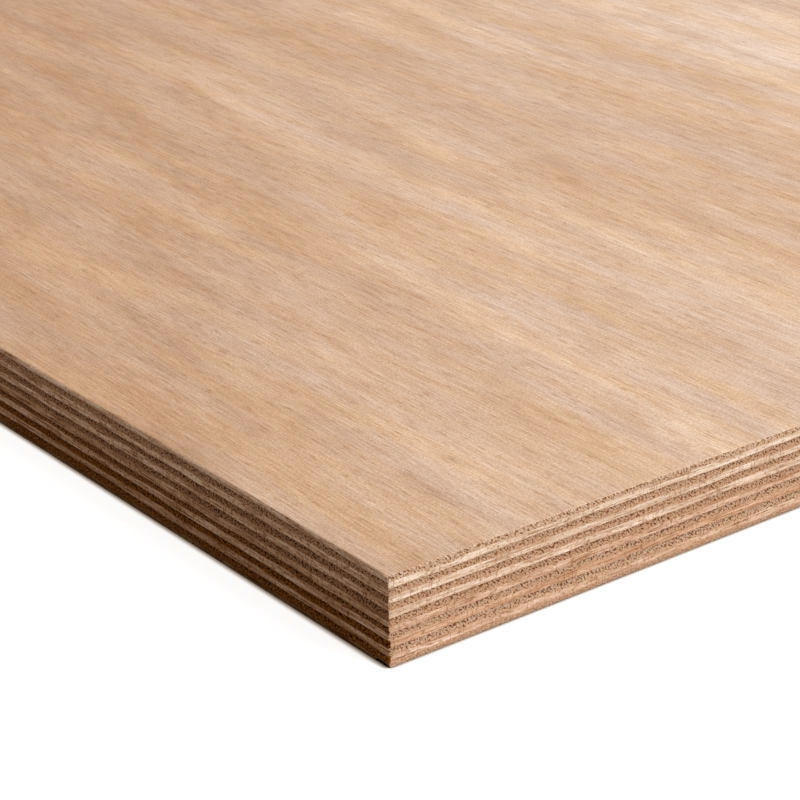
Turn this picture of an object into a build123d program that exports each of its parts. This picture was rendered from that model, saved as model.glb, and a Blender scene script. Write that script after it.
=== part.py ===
from build123d import *
import os

# A sheet of hardwood plywood, lying flat with its good face up.
# Peeled veneers are glued crosswise in a balanced lay-up: the fibres of the face, the back and
# the cores run along the sheet (X), and those of the crossbands between them run across it (Y).
# Millimetres, +Z up. The origin is in the middle of the sheet's underside.

# The pressed sheet, trimmed square by the saw
sheet_length = 2440.0
sheet_width = 1220.0

# Veneer thicknesses in the pressed sheet; the two outer veneers are sanded thinner
outer_thickness = 1.05
crossband_thickness = 1.4
core_thickness = 1.5

# Crossbands in the lay-up; there is a core between each two of them
crossband_count = 6

# A splinter that the saw tore out along the fibres of the back veneer,
# from the lower edge of its long side, at the corner at +X and -Y
splinter_length = 4.2
splinter_height = 0.6
splinter_depth = 0.8


def lay_up():
    """Name and thickness of each veneer, from the face down."""
    veneers = [("face_veneer", outer_thickness)]
    for number in range(1, crossband_count + 1):
        veneers.append((f"crossband_{number}", crossband_thickness))
        if number < crossband_count:
            veneers.append((f"core_{number}", core_thickness))
    veneers.append(("back_veneer", outer_thickness))
    return veneers


def veneer(bottom, thickness):
    """One veneer, trimmed to the sheet's size, with its underside at the height bottom."""
    with BuildPart() as sheet:
        with BuildSketch(Plane.XY.offset(bottom)):
            Rectangle(sheet_length, sheet_width)
        extrude(amount=thickness)
    return sheet.part


def splinter():
    """The torn-out sliver: a wedge under the long side, ending square across the fibres."""
    corner = Plane((sheet_length / 2, -sheet_width / 2, 0), x_dir=(0, 1, 0), z_dir=(1, 0, 0))
    with BuildPart() as sliver:
        with BuildSketch(corner):
            with BuildLine():
                Polyline((0, 0), (splinter_depth, 0), (0, splinter_height), close=True)
            make_face()
        extrude(amount=-splinter_length)
    return sliver.part


# The veneers are stacked from the back up, each on the one below it
os.makedirs("parts", exist_ok=True)
height = 0
for name, thickness in reversed(lay_up()):
    piece = veneer(height, thickness)
    if name == "back_veneer":
        piece = piece - splinter()
    export_step(piece, f"parts/{name}.step")
    height += thickness
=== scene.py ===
import math

import bmesh
import bpy
from mathutils import Euler, Matrix, Vector, noise


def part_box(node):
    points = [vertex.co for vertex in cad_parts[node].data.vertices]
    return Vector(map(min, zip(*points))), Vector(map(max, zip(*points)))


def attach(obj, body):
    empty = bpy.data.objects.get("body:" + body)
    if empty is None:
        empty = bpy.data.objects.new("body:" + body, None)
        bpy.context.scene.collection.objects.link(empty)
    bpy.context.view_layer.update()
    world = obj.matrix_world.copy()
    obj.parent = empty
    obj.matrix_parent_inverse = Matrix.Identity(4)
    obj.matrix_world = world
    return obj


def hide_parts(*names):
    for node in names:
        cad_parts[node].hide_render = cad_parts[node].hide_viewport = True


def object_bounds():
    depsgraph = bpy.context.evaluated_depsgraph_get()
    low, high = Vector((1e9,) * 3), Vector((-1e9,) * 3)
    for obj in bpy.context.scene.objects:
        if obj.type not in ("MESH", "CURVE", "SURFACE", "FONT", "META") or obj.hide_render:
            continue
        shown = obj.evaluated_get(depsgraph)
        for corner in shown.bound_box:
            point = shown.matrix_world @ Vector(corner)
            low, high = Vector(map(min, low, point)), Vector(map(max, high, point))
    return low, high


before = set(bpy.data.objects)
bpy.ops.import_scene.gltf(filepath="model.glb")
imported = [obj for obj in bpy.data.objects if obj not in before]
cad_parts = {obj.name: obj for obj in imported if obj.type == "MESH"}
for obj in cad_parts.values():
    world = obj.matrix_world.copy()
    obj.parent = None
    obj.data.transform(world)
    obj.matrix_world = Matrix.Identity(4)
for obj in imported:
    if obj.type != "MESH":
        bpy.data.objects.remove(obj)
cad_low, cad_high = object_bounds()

# Back veneer
# A rotary-peeled sheet of reddish hardwood with its fibres along the plywood, sanded on its outer side.
# It goes into the press first, and the trimming saw tore a splinter out of it at one corner.

mm = 0.001
face_step = 40 * mm            # width of the fields that a flat face is made of
edge_step = 2 * mm             # stretch of edge between two points of a glue line
slow_wave = 28 * mm            # thick and thin spots in the veneers make the glue lines wander
quick_wave = 6 * mm
slow_rise = 0.26 * mm
quick_rise = 0.18 * mm
lap_start = 6 * mm             # a lap in the uppermost crossband, from the corner along the end at +X
lap_end = 15.5 * mm
lap_rise = 0.55 * mm
saw_wander = 0.02 * mm         # unevenness of the sawn sides
chip_depth = 0.3 * mm          # how far the upright corners are chipped, and the spacing of the chips
chip_wave = 1.3 * mm
corner_round = 0.3 * mm        # the upright corners, rubbed soft in handling
sliver_low = 0.8 * mm          # a sliver is gone from the long side at -Y, along its corner at +X
sliver_high = 7.4 * mm
sliver_depth = 0.35 * mm
back_arris = 0.1 * mm          # the edges between the back and the sawn sides
splinter_length = 4.2 * mm
splinter_height = 0.72 * mm
splinter_depth = 0.8 * mm
splinter_end = 0.1 * mm        # the length in which the splinter broke off across its fibres
splinter_run = 1.5 * mm        # the stretch in which the notch gets shallow towards the corner
splinter_out_share = 0.25      # the share of its depth that is left there
touch = 0.001 * mm             # points this near to each other are at one place
sharp_angle = math.radians(60)  # edges with a wider turn than this are an arris
shown_flat_share = 0.74        # of the height of a veneer's map, for a flat face that is seen
hidden_flat_share = 0.03       # and for one that is hidden
row_fill_share = 0.8           # of the height of a row of the map, the rest being a gap

lap_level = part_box("face_veneer")[0].z


def glue_line(x, y, level):
    """Height of the glue line of this level at a place on the sawn sides."""
    if level < cad_low.z + touch or level > cad_high.z - touch:
        return level
    height = level + slow_rise * noise.noise((x / slow_wave, y / slow_wave, level / slow_rise))
    height += quick_rise * noise.noise((x / quick_wave, y / quick_wave, level / quick_rise))
    run = y - cad_low.y
    if abs(level - lap_level) < touch and x > cad_high.x - edge_step and lap_start < run < lap_end:
        height -= lap_rise * (run - lap_start) / (lap_end - lap_start)
    return height


def inwards(place):
    """The way into the sheet from a point on its sawn sides."""
    way = Vector((0, 0, 0))
    if cad_high.x - abs(place.x) < corner_round:
        way.x = -math.copysign(1, place.x)
    if cad_high.y - abs(place.y) < corner_round:
        way.y = -math.copysign(1, place.y)
    return way


def way_round(place, normal):
    """How far round the sheet a place on the sawn side with this normal is from its corner at -X and -Y."""
    run = place - cad_low
    size = cad_high - cad_low
    if abs(normal.x) > abs(normal.y):
        return size.x + run.y if normal.x > 0 else 2 * (size.x + size.y) - run.y
    return run.x if normal.y < 0 else 2 * size.x + size.y - run.x


def lay_out(shape, low, high, rim):
    """Lays a veneer out on a map of its own, with room for the grain of the narrow sides. The lower flat
    face is at the foot of the map, the upper one above it, and the sides fill the rest in rows of one
    length. A flat face gets much room only if it is at the height rim, on the outside of the sheet."""
    size = high - low
    lower_share = shown_flat_share if rim == low.z else hidden_flat_share
    upper_share = shown_flat_share if rim == high.z else hidden_flat_share
    sides_share = 1 - lower_share - upper_share
    outline = 2 * (size.x + size.y)
    rows = round(math.sqrt(row_fill_share * sides_share * outline / size.z))
    row_length = outline / rows
    layout = shape.loops.layers.uv.new("OFBake")
    for face in shape.faces:
        row = math.floor(way_round(face.calc_center_median(), face.normal) / row_length)
        for loop in face.loops:
            place = loop.vert.co - low
            if face.material_index == 0:
                along_share = place.x / size.x
                first_share = lower_share if face.normal.z > 0 else 0
                room_share = upper_share if face.normal.z > 0 else lower_share
                up_share = first_share + room_share * row_fill_share * place.y / size.y
            else:
                run = way_round(loop.vert.co, face.normal) - row * row_length
                along_share = (run + edge_step) / (row_length + 2 * edge_step)
                height_share = (row + row_fill_share * place.z / size.z) / rows
                up_share = 1 - sides_share + sides_share * height_share
            loop[layout].uv = (along_share, up_share)


def trimmed_veneer(node, row, rim=None, rounding=0, shape_edge=None):
    """The mesh of a veneer: a flat face with an outline in short stretches, raised to its thickness, with
    a row of points round its sides at the height row, and the arris at the height rim rounded. shape_edge
    is a function that works on the mesh where an edge of it is worn or torn."""
    low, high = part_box(node)
    size = high - low
    shape = bmesh.new()
    bmesh.ops.create_grid(shape, x_segments=round(size.x / face_step),
                          y_segments=round(size.y / face_step), size=0.5)
    bmesh.ops.scale(shape, vec=(size.x, size.y, 1), verts=shape.verts)
    bmesh.ops.translate(shape, vec=(0, 0, low.z), verts=shape.verts)
    corners = [vert for vert in shape.verts if len(vert.link_edges) == 2]
    bmesh.ops.bevel(shape, geom=corners, offset=corner_round, affect="VERTICES",
                    segments=2, profile=0.5, material=-1)
    outline = [edge for edge in shape.edges if edge.is_boundary and edge.calc_length() > face_step / 2]
    bmesh.ops.bisect_edges(shape, edges=outline, cuts=round(face_step / edge_step) - 1)
    raised = bmesh.ops.extrude_face_region(shape, geom=shape.faces[:])["geom"]
    raised = [part for part in raised if isinstance(part, bmesh.types.BMVert)]
    bmesh.ops.translate(shape, vec=(0, 0, high.z - low.z), verts=raised)
    everything = shape.verts[:] + shape.edges[:] + shape.faces[:]
    bmesh.ops.bisect_plane(shape, geom=everything, plane_co=(0, 0, row), plane_no=(0, 0, 1))
    if rim is not None:
        shape.normal_update()
        sharp = [edge for edge in shape.edges if edge.calc_face_angle(0) > sharp_angle]
        arris = [edge for edge in sharp if all(abs(vert.co.z - rim) < touch for vert in edge.verts)]
        bmesh.ops.bevel(shape, geom=arris, offset=rounding, affect="EDGES", segments=3,
                        profile=0.5, material=-1)
    if shape_edge is not None:
        shape_edge(shape)
    bmesh.ops.recalc_face_normals(shape, faces=shape.faces)

    for face in shape.faces:
        if abs(face.normal.z) < 0.95:
            face.material_index = 1 if abs(face.normal.x) > abs(face.normal.y) else 2
            face.smooth = True
    for edge in shape.edges:
        sides = [face.smooth for face in edge.link_faces]
        edge.smooth = all(sides) or not any(sides)
    lay_out(shape, low, high, rim)
    depth = shape.verts.layers.float.new("depth")
    for vert in shape.verts:
        x, y, z = vert.co
        vert[depth] = (z - low.z) / (high.z - low.z)
        uneven = 2 + noise.noise(vert.co / quick_wave) + noise.noise(vert.co / edge_step)
        bottom = glue_line(x, y, low.z)
        vert.co.z = bottom + vert[depth] * (glue_line(x, y, high.z) - bottom)
        way = inwards(vert.co)
        vert.co += way * saw_wander * uneven
        if way.x and way.y:
            vert.co += way * chip_depth * max(0, noise.noise(vert.co / chip_wave))
            if x > 0 > y and sliver_low < z < sliver_high:
                vert.co.y += sliver_depth
    mesh = bpy.data.meshes.new(node)
    shape.to_mesh(mesh)
    shape.free()
    return mesh


def tear_splinter(shape):
    """Opens the notch under the long side at -Y, at the corner at +X, where the splinter came out."""
    inner = cad_high.x - splinter_length
    for end in (inner, inner - splinter_end):
        side = [face for face in shape.faces
                if face.normal.y < -0.1 and abs(face.calc_center_median().x - end) < edge_step]
        edges = {edge for face in side for edge in face.edges}
        verts = {vert for face in side for vert in face.verts}
        bmesh.ops.bisect_plane(shape, geom=[*side, *edges, *verts],
                               plane_co=(end, 0, 0), plane_no=(1, 0, 0))
    for vert in shape.verts:
        beside = vert.co.y < cad_low.y + 2 * back_arris
        if beside and vert.co.x > inner - splinter_end / 2 and vert.co.z < splinter_height:
            run_share = min(1, (cad_high.x - vert.co.x) / splinter_run)
            depth = splinter_depth * (splinter_out_share + (1 - splinter_out_share) * run_share)
            vert.co.y += depth * (1 - vert.co.z / splinter_height)


def linear(colour):
    """An sRGB hex colour as linear RGBA."""
    shares = [int(colour[place:place + 2], 16) / 255 for place in (1, 3, 5)]
    return [s / 12.92 if s <= 0.04045 else ((s + 0.055) / 1.055) ** 2.4 for s in shares] + [1]


def between(colour, other, share):
    """The tone that lies this share of the way from one linear colour to another."""
    return [a + share * (b - a) for a, b in zip(colour, other)]


def tinted(colour, shares):
    """A linear colour with each of its channels taken to a share of what it was."""
    return [part * share for part, share in zip(colour, shares)]


def add(tree, kind, inputs, **settings):
    """Adds a shader node. An input takes a value, a socket, or a node, whose first output then feeds it."""
    made = tree.nodes.new("ShaderNode" + kind)
    for name, value in settings.items():
        setattr(made, name, value)
    for name, value in inputs.items():
        socket = made.inputs[name]
        if not socket.enabled:
            socket = next(one for one in made.inputs if one.enabled and one.name == name)
        if isinstance(value, bpy.types.Node):
            value = next(one for one in value.outputs if one.enabled)
        if isinstance(value, bpy.types.NodeSocket):
            tree.links.new(value, socket)
        else:
            socket.default_value = value
    return made


def grain(tree, sizes, turn, tilt, start):
    """Coordinates that count in these sizes along, across and through a veneer whose fibres are turned
    from X by turn degrees. The pattern is tilted about the fibres, and start picks a stretch of it."""
    place = add(tree, "TexCoord", {}).outputs["Object"]
    turns = (math.radians(tilt), 0, math.radians(turn))
    return add(tree, "Mapping", {"Vector": place, "Location": (start, 0.37 * start, 0.11 * start),
                                 "Rotation": turns, "Scale": sizes}, vector_type="TEXTURE")


def cloud(tree, sizes, low, high, turn, start, tilt=0, detail=2, least=0, most=1):
    """A value that drifts from least to most over a veneer, in soft patches of these sizes."""
    place = grain(tree, sizes, turn, tilt, start)
    pattern = add(tree, "TexNoise", {"Vector": place, "Scale": 1, "Detail": detail})
    return add(tree, "MapRange", {"Value": pattern, "From Min": low, "From Max": high,
                                  "To Min": least, "To Max": most})


def vessels(tree, sizes, narrow, wide, turn, start, least=0, most=1):
    """A value that goes from least to most inside the open vessels of the wood, which lie about these sizes
    apart and reach from their middle over a share of them between narrow and wide."""
    place = grain(tree, sizes, turn, 0, start)
    cells = add(tree, "TexVoronoi", {"Vector": place, "Scale": 1})
    chance = add(tree, "SeparateColor", {"Color": cells.outputs["Color"]}).outputs["Red"]
    reach = add(tree, "MapRange", {"Value": chance, "To Min": narrow, "To Max": wide})
    return add(tree, "MapRange", {"Value": cells.outputs["Distance"], "From Min": reach, "From Max": 0,
                                  "To Min": least, "To Max": most})


def product(tree, values):
    """All these values multiplied."""
    result = values[0]
    for value in values[1:]:
        result = add(tree, "Math", {0: result, 1: value}, operation="MULTIPLY")
    return result


def stained(tree, tone, shade, contrast):
    """Wood of this tone, darker or lighter by shade. It gets redder as it darkens: its red follows the
    shade less than its green does, and its blue more."""
    parts = {}
    for name, power_share in (("Red", 0.68), ("Green", 1), ("Blue", 1.32)):
        parts[name] = add(tree, "Math", {0: shade, 1: contrast * power_share}, operation="POWER")
    stain = add(tree, "CombineColor", parts)
    return add(tree, "Mix", {"Factor": 1, "A": tone, "B": stain},
               data_type="RGBA", blend_type="MULTIPLY")


def finish_wood(tree, colour, height, relief, roughness, gloss):
    """Closes a wood's tree: unsealed wood, with its relief as bump."""
    bump = add(tree, "Bump", {"Height": height, "Strength": 1, "Distance": relief})
    shader = add(tree, "BsdfPrincipled", {"Base Color": colour, "Roughness": roughness, "IOR": 1.45,
                                          "Specular IOR Level": gloss, "Normal": bump})
    add(tree, "OutputMaterial", {"Surface": shader})


def new_material(name):
    """A material with an empty tree."""
    material = bpy.data.materials.new(name)
    material.use_nodes = True
    material.node_tree.nodes.clear()
    return material


def painted_shade_oval(tree, middle, sizes, turn, start, most):
    """Painted shade: a value of 1 that goes softly to most in one long oval of these half sizes on a
    veneer, standing in for light that falls off across the face. The rim of the oval is feathered along the
    fibres."""
    feather_size = (400 * mm, 26 * mm, 1000 * mm)
    rim_share = 0.5
    place = add(tree, "TexCoord", {}).outputs["Object"]
    turns = (0, 0, math.radians(turn))
    inside = add(tree, "Mapping", {"Vector": place, "Location": middle, "Rotation": turns,
                                   "Scale": sizes}, vector_type="TEXTURE")
    depth = add(tree, "TexGradient", {"Vector": inside}, gradient_type="SPHERICAL").outputs["Fac"]
    feather = cloud(tree, feather_size, 0.3, 0.7, turn, start, least=-0.1, most=0.1)
    reach = add(tree, "Math", {0: depth, 1: feather}, operation="ADD")
    return add(tree, "MapRange", {"Value": reach, "From Max": rim_share, "To Min": 1, "To Max": most},
               interpolation_type="SMOOTHSTEP")


def sanded_face(name, tone, start, painted_shade_share):
    """Sanded hardwood: fine lines along the fibres with thin dark vessels among them, soft pale ribbons
    that lean a little across them, faint clouds and long stripes, golden and greyish spots, and a painted
    shade on the long side at -Y: an oval in which the wood is darker by the given share, standing in for
    light that falls off away from the lamp. Each pattern takes a stretch of its own from start on, so that
    none follows another."""
    # where the painted shade lies, how large it is, and below how it turns
    painted_shade_middle = (600 * mm, -558 * mm, 0)
    painted_shade_size = (740 * mm, 285 * mm, 1000 * mm)
    stripe_size = (1500 * mm, 90 * mm, 1000 * mm)
    ribbon_size = (90 * mm, 13 * mm, 1000 * mm)
    haze_size = (36 * mm, 14 * mm, 1000 * mm)
    hue_size = (60 * mm, 8 * mm, 1000 * mm)
    line_size = (22 * mm, 1.8 * mm, 1000 * mm)
    fibre_size = (8 * mm, 0.23 * mm, 1000 * mm)
    grit_size = (0.7 * mm, 0.24 * mm, 1000 * mm)
    vessel_size = (5.5 * mm, 0.46 * mm, 0.5 * mm)
    golden_shares = (1.02, 0.99, 0.91, 1)
    greyish_shares = (0.98, 1.01, 1.09, 1)
    relief = 0.008 * mm
    lean = -1.2                # turns of the patterns from the long side, in degrees
    painted_shade_turn = -10
    stripe_turn = -6
    ribbon_turn = -6.5
    haze_turn = -8
    contrast = 1.1
    material = new_material(name)
    tree = material.node_tree
    # Painted shade: the wood is darker in an oval near the long side at -Y, for light that falls off there.
    dark = painted_shade_oval(tree, painted_shade_middle, painted_shade_size, painted_shade_turn, start, 1 - painted_shade_share)
    stripe = cloud(tree, stripe_size, 0.35, 0.65, stripe_turn, start + 20.28, detail=1,
                   least=0.9, most=1.08)
    ribbon = cloud(tree, ribbon_size, 0.45, 0.75, ribbon_turn, start + 39, least=1, most=1.22)
    haze = cloud(tree, haze_size, 0.45, 0.8, haze_turn, start + 25, least=1, most=0.83)
    line = cloud(tree, line_size, 0.45, 0.75, lean, start + 11, least=1, most=0.86)
    vessel = vessels(tree, vessel_size, 0.05, 0.4, lean, start, least=1, most=0.4)
    fibre = cloud(tree, fibre_size, 0.25, 0.75, lean, start, least=0.72, most=1.28)
    grit = cloud(tree, grit_size, 0.25, 0.75, lean, start + 17, least=0.72, most=1.28)
    shade = product(tree, (dark, stripe, ribbon, haze, line, vessel, fibre, grit))
    hue = cloud(tree, hue_size, 0.35, 0.65, lean, start + 31)
    ground = add(tree, "Mix", {"Factor": hue, "A": tinted(tone, golden_shares),
                               "B": tinted(tone, greyish_shares)}, data_type="RGBA")
    finish_wood(tree, stained(tree, ground, shade, contrast), shade, relief,
                roughness=0.6, gloss=0.3)
    return material


def sawn_along(name, tone, turn, start, contrast=1):
    """Wood sawn along its fibres: pale and rosy streaks, thin red-brown vessel lines, rows of upright saw
    marks, and fibres torn away along the lower glue line."""
    band_size = (12 * mm, 12 * mm, 0.9 * mm)
    rosy_size = (9 * mm, 9 * mm, 0.42 * mm)
    streak_size = (8 * mm, 8 * mm, 0.26 * mm)
    vessel_size = (16 * mm, 0.42 * mm, 0.42 * mm)
    patch_size = (12 * mm, 12 * mm, 1.5 * mm)
    saw_size = (0.32 * mm, 0.32 * mm, 3 * mm)
    row_size = (7 * mm, 7 * mm, 4 * mm)
    torn_size = (1.2 * mm, 1.2 * mm, 0.4 * mm)
    fuzz_size = (0.7 * mm, 0.7 * mm, 0.28 * mm)
    relief = 0.02 * mm
    material = new_material(name)
    tree = material.node_tree
    depth = add(tree, "Attribute", {}, attribute_name="depth").outputs["Fac"]
    band = cloud(tree, band_size, 0.40, 0.66, turn, start, least=1, most=1.2)
    first_rosy = add(tree, "MapRange", {"Value": depth, "To Min": 0.58, "To Max": 0.44})
    rosy = cloud(tree, rosy_size, first_rosy, 0.72, turn, start + 3, least=1, most=0.46)
    patch = cloud(tree, patch_size, 0.42, 0.6, turn, start + 5, least=1, most=0.25)
    vessel = vessels(tree, vessel_size, 0.1, 0.38, turn, start, least=1, most=patch)
    torn = cloud(tree, torn_size, 0.40, 0.9, turn, start + 7, most=0.5)
    torn = add(tree, "MapRange", {"Value": depth, "From Min": 0, "From Max": torn, "To Min": 0.6})
    streak = cloud(tree, streak_size, 0.2, 0.8, turn, start, detail=3, least=0.55, most=1.45)
    fuzz = cloud(tree, fuzz_size, 0.2, 0.8, turn, start + 13, least=0.8, most=1.2)
    row = cloud(tree, row_size, 0.4, 0.6, turn, start + 9, least=0.95, most=0.55)
    saw = cloud(tree, saw_size, 0.55, 0.68, 0, start, least=1, most=row)
    shade = product(tree, (band, rosy, vessel, torn, streak, fuzz, saw))
    finish_wood(tree, stained(tree, tone, shade, contrast), shade, relief,
                roughness=0.8, gloss=0.06)
    return material


def sawn_across(name, tone, turn, start, contrast=1, open_share=1, foot_shares=(1.16, 1.06, 0.95, 1)):
    """Wood sawn across its fibres: torn pits and open vessels as short brown strokes, crowded along the
    upper glue line and sparse towards the lower one, in a gritty ground. open_share says how much they
    darken it. At its foot the ground has these shares of the tone's channels."""
    fray_size = (5 * mm, 1.1 * mm, 0.7 * mm)
    grit_size = (5 * mm, 0.5 * mm, 0.32 * mm)
    pit_size = (5 * mm, 0.74 * mm, 0.33 * mm)
    patch_size = (8 * mm, 6 * mm, 1.5 * mm)
    relief = 0.05 * mm
    tilt = -48
    pit_rim = 0.09             # the step of the pattern in which a pit gets its full depth
    material = new_material(name)
    tree = material.node_tree
    depth = add(tree, "Attribute", {}, attribute_name="depth").outputs["Fac"]
    fray = cloud(tree, fray_size, 0.3, 0.7, turn, start, most=0.8)
    level = add(tree, "Math", {0: fray, 1: depth}, operation="ADD")
    foot_blend = add(tree, "MapRange", {"Value": level, "From Min": 1.4, "From Max": 0.4})
    ground = add(tree, "Mix", {"Factor": foot_blend, "A": tone, "B": tinted(tone, foot_shares)},
                 data_type="RGBA")
    first_pit = add(tree, "MapRange", {"Value": depth, "To Min": 0.57, "To Max": 0.47})
    full_pit = add(tree, "Math", {0: first_pit, 1: pit_rim}, operation="ADD")
    patch = cloud(tree, patch_size, 0.3, 0.6, turn, start + 5,
                  least=1 - 0.55 * open_share, most=1 - 0.85 * open_share)
    pit = cloud(tree, pit_size, first_pit, full_pit, turn, start, tilt, detail=1, least=1, most=patch)
    grit = cloud(tree, grit_size, 0.2, 0.8, turn, start, tilt, least=0.35, most=1.65)
    shade = product(tree, (pit, grit))
    finish_wood(tree, stained(tree, ground, shade, contrast), shade, relief,
                roughness=0.85, gloss=0.05)
    return material


def lay(node, mesh, flat, ends, sides):
    """Puts a veneer in its solid's place, with a wood for its flat faces, its ends and its long sides."""
    for material in (flat, ends, sides):
        mesh.materials.append(material)
    piece = bpy.data.objects.new(node + "_wood", mesh)
    bpy.context.scene.collection.objects.link(piece)
    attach(piece, "root")
    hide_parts(node)


back_mesh = trimmed_veneer("back_veneer", splinter_height, cad_low.z, back_arris, tear_splinter)
# The back has none of the painted shade that the face gets.
back_face = sanded_face("sanded hardwood of the back", linear("#CFAF95"), 31, painted_shade_share=0)
# The end grain of the back gets darker towards its foot.
back_end = sawn_across("end grain of the back", linear("#CBA283"), 0, 31, open_share=0.3,
                       foot_shares=(0.67, 0.74, 0.83, 1))
# The long sides of the back are dark partly in their own colour and partly as painted shade of the floor,
# the back being the lowest ply.
back_side = sawn_along("long grain of the back", linear("#815D39"), 0, 31, contrast=2.2)
lay("back_veneer", back_mesh, back_face, back_end, back_side)

# Crossbands
# Peeled veneers laid with their fibres across the plywood. The saw ran along their fibres at the two
# ends, where they are pale and streaked, and across them on the long sides, where they are dark.

cross_end_pale = linear("#E9CFB8")
cross_end_red = linear("#D4A98A")
cross_side_pale = linear("#BB987D")
cross_side_red = linear("#84521A")
cross_contrast = 1.3           # of the end grain on the long sides, and how much more there is in red ones
red_contrast = 1.5
# Redness of each crossband, at its ends and on its long sides. On the long sides it is also painted
# shade: the lower plies there are made darker for the floor's shade under the long side at -Y.
cross_redness_and_shade_shares = {"crossband_1": (0, 0), "crossband_2": (0.14, 0.39), "crossband_3": (0.29, 0.44),
                        "crossband_4": (0.71, 0.85), "crossband_5": (1, 1), "crossband_6": (0.63, 0.97)}
for number, (node, (end_redness, side_redness_and_shade)) in enumerate(cross_redness_and_shade_shares.items()):
    low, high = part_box(node)
    mesh = trimmed_veneer(node, row=(low.z + high.z) / 2)
    end_tone = between(cross_end_pale, cross_end_red, end_redness)
    side_tone = between(cross_side_pale, cross_side_red, side_redness_and_shade)
    ends = sawn_along("long grain of " + node, end_tone, 90, number)
    sides = sawn_across("end grain of " + node, side_tone, 90, number,
                        contrast=cross_contrast + red_contrast * side_redness_and_shade)
    lay(node, mesh, ends, ends, sides)

# Cores
# Peeled veneers between the crossbands, with their fibres along the plywood. The saw opened their
# vessels at the two ends, and ran along their fibres on the long sides.

core_end_pale = linear("#C0A289")
core_end_red = linear("#B9977D")
core_side_pale = linear("#EDCAAF")
core_side_red = linear("#CDA483")
# Redness of each core, at its ends and on its long sides. On the long sides it is also painted shade:
# the lower plies there are made darker for the floor's shade under the long side at -Y.
core_redness_and_shade_shares = {"core_1": (0.49, 0), "core_2": (0.87, 0.23), "core_3": (1, 0.93),
                       "core_4": (0.45, 0.45), "core_5": (0, 1)}
for number, (node, (end_redness, side_redness_and_shade)) in enumerate(core_redness_and_shade_shares.items()):
    low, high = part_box(node)
    mesh = trimmed_veneer(node, row=(low.z + high.z) / 2)
    end_tone = between(core_end_pale, core_end_red, end_redness)
    side_tone = between(core_side_pale, core_side_red, side_redness_and_shade)
    ends = sawn_across("end grain of " + node, end_tone, 0, number + 20)
    sides = sawn_along("long grain of " + node, side_tone, 0, number + 20, contrast=1.6)
    lay(node, mesh, sides, ends, sides)

# Face veneer
# The best of the peeled veneers, with its fibres along the plywood. It is sanded after pressing, which
# leaves it thinner than the inner ones and takes the sharpness off its edges.

face_arris = 0.32 * mm         # the sanded edge between the face and the ends
rub_share = 0.8                # how much rounder the long edges are rubbed, and how much that varies
rub_swing_share = 0.9
rub_start = 4 * mm             # the stretch from a corner in which they get rounder


def rub_long_edges(shape):
    """Rubs the upper edges of the two long sides rounder, here more and there less."""
    for vert in shape.verts:
        inset = cad_high.y - abs(vert.co.y)
        drop = cad_high.z - vert.co.z
        if max(inset, drop) < face_arris + touch:
            reach = min(1, (cad_high.x - abs(vert.co.x)) / rub_start)
            swing = rub_swing_share * noise.noise((vert.co.x / slow_wave, vert.co.y / slow_wave, 0))
            rounder = 1 + reach * (rub_share + swing)
            vert.co.y = math.copysign(cad_high.y - inset * rounder, vert.co.y)
            vert.co.z = cad_high.z - drop * rounder


low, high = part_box("face_veneer")
face_mesh = trimmed_veneer("face_veneer", low.z + face_arris / 2, high.z, face_arris, rub_long_edges)
# Painted shade makes the face up to a third darker in an oval on its long side at -Y, towards the end at
# +X.
face_top = sanded_face("sanded hardwood of the face", linear("#D6B9A0"), 38.18, painted_shade_share=0.34)
face_end = sawn_across("end grain of the face", linear("#C2A790"), 0, 14)
face_side = sawn_along("long grain of the face", linear("#EECEB5"), 0, 14)
lay("face_veneer", face_mesh, face_top, face_end, face_side)

# Floor
# A plain white studio floor. The camera sees it white, with the sheet's shadow on it and a painted
# contact shadow where the sheet touches it: an ambient-occlusion reading darkens its glow and its paint
# there, and tints them warm as painted light thrown back from the wood. The light that it throws back is
# that of a darker floor.

floor_size = 60
floor_glow = 0.88
# The contact shadow is painted: it comes from an ambient-occlusion reading in the floor's material, leant
# towards the lamp's side, and not from the lamps.
contact_reach = 1.6 * mm       # the stretch of floor beside the sheet that gets little light
contact_way = {"X": 0.02, "Y": 0.3, "Z": 0.95}  # where that light comes from
contact_dark_share = 0.29      # shares of open sky at which the floor is dark and fully white
contact_white_share = 0.88


def seen_rays(tree):
    """A value of 1 for the rays by which a thing is seen, also in a mirror or through glass."""
    path = add(tree, "LightPath", {}).outputs
    seen = add(tree, "Math", {0: path["Is Camera Ray"], 1: path["Is Glossy Ray"]}, operation="ADD")
    return add(tree, "Math", {0: seen, 1: path["Is Transmission Ray"]}, operation="ADD", use_clamp=True)


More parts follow.
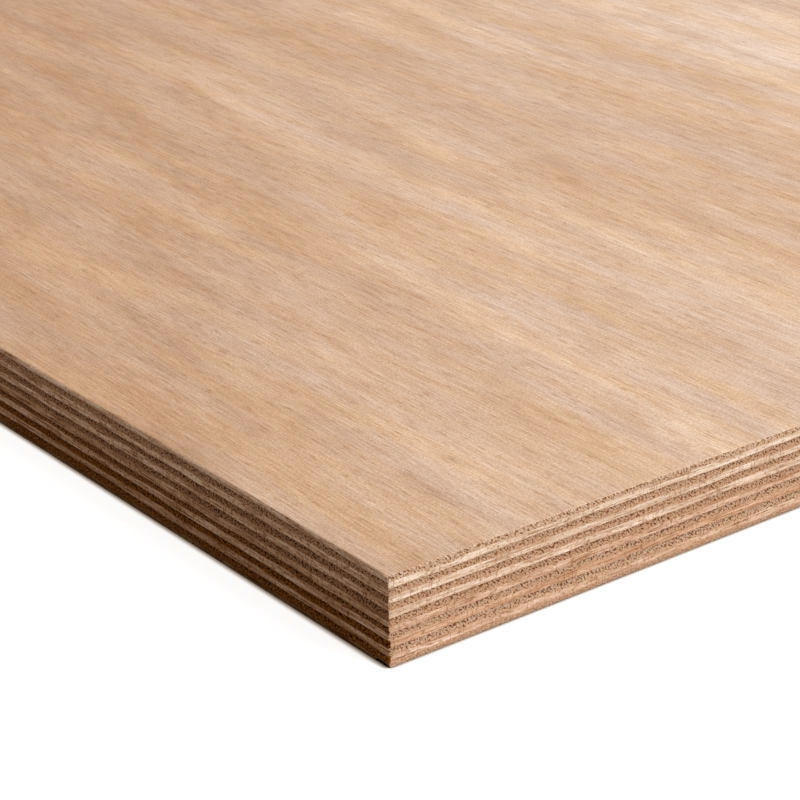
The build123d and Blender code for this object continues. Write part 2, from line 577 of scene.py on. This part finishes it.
floor_shape = bmesh.new()
bmesh.ops.create_grid(floor_shape, x_segments=1, y_segments=1, size=floor_size / 2)
floor_mesh = bpy.data.meshes.new("floor")
floor_shape.to_mesh(floor_mesh)
floor_shape.free()
floor_paint = new_material("white studio floor")
tree = floor_paint.node_tree
# Painted shade: the occlusion reading darkens the floor's glow and paint beside the sheet, and the warm
# tint there paints light thrown back from the wood.
to_light = add(tree, "CombineXYZ", contact_way)
sky_share = add(tree, "AmbientOcclusion", {"Distance": contact_reach, "Normal": to_light}, samples=12)
level = add(tree, "MapRange", {"Value": sky_share.outputs["AO"], "From Min": contact_dark_share,
                               "From Max": contact_white_share})
painted_bounce_tint = add(tree, "Mix", {"Factor": level, "A": linear("#FFDCBC"), "B": linear("#FFFFFF")},
           data_type="RGBA")
strength = add(tree, "Math", {0: level, 1: floor_glow}, operation="MULTIPLY")
glow = add(tree, "Emission", {"Color": painted_bounce_tint, "Strength": strength})
paint = add(tree, "Mix", {"Factor": level, "A": linear("#000000"), "B": linear("#AAAAAA")},
            data_type="RGBA")
lit = add(tree, "BsdfDiffuse", {"Color": paint})
bright = add(tree, "AddShader", {0: lit, 1: glow})
dull = add(tree, "BsdfDiffuse", {"Color": linear("#7C736A")})
look = add(tree, "MixShader", {0: seen_rays(tree), 1: dull, 2: bright})
add(tree, "OutputMaterial", {"Surface": look})
floor_mesh.materials.append(floor_paint)
floor = bpy.data.objects.new("floor", floor_mesh)
bpy.context.scene.collection.objects.link(floor)

# Light
# One wide soft lamp, high on the right and a little behind the corner, and a dim warm fill all round.

lamp = bpy.data.lights.new("key", "SUN")
lamp.energy = 3.7
lamp.angle = math.radians(35)
key = bpy.data.objects.new("key", lamp)
key.rotation_euler = Vector((0.62, 0.45, 0.64)).to_track_quat("Z", "Y").to_euler()
bpy.context.scene.collection.objects.link(key)
world = bpy.data.worlds.new("studio")
bpy.context.scene.world = world
world.use_nodes = True
tree = world.node_tree
tree.nodes.clear()
fill = add(tree, "Background", {"Color": linear("#FFEBD8"), "Strength": 0.35})
white = add(tree, "Background", {"Color": linear("#FFFFFF"), "Strength": 1})
sky = add(tree, "MixShader", {0: seen_rays(tree), 1: fill, 2: white})
add(tree, "OutputWorld", {"Surface": sky})

# Camera
# A long lens close to the corner at +X and -Y, looking down over it along the sheet.

corner = Vector((cad_high.x, cad_low.y, cad_low.z))
stand = Vector((299.29 * mm, -228.35 * mm, 213.99 * mm))
look_down = math.radians(23.41)
look_round = math.radians(52.30)
roll = math.radians(-0.561)
lens = bpy.data.cameras.new("camera")
lens.sensor_width = 36
lens.lens = 111.29
lens.clip_start = 10 * mm
camera = bpy.data.objects.new("camera", lens)
aim = Euler((math.pi / 2 - look_down, 0, look_round)).to_matrix() @ Matrix.Rotation(roll, 3, "Z")
camera.matrix_world = Matrix.Translation(corner + stand) @ aim.to_4x4()
bpy.context.scene.collection.objects.link(camera)
bpy.context.scene.camera = camera
bpy.context.scene.view_settings.view_transform = "Standard"
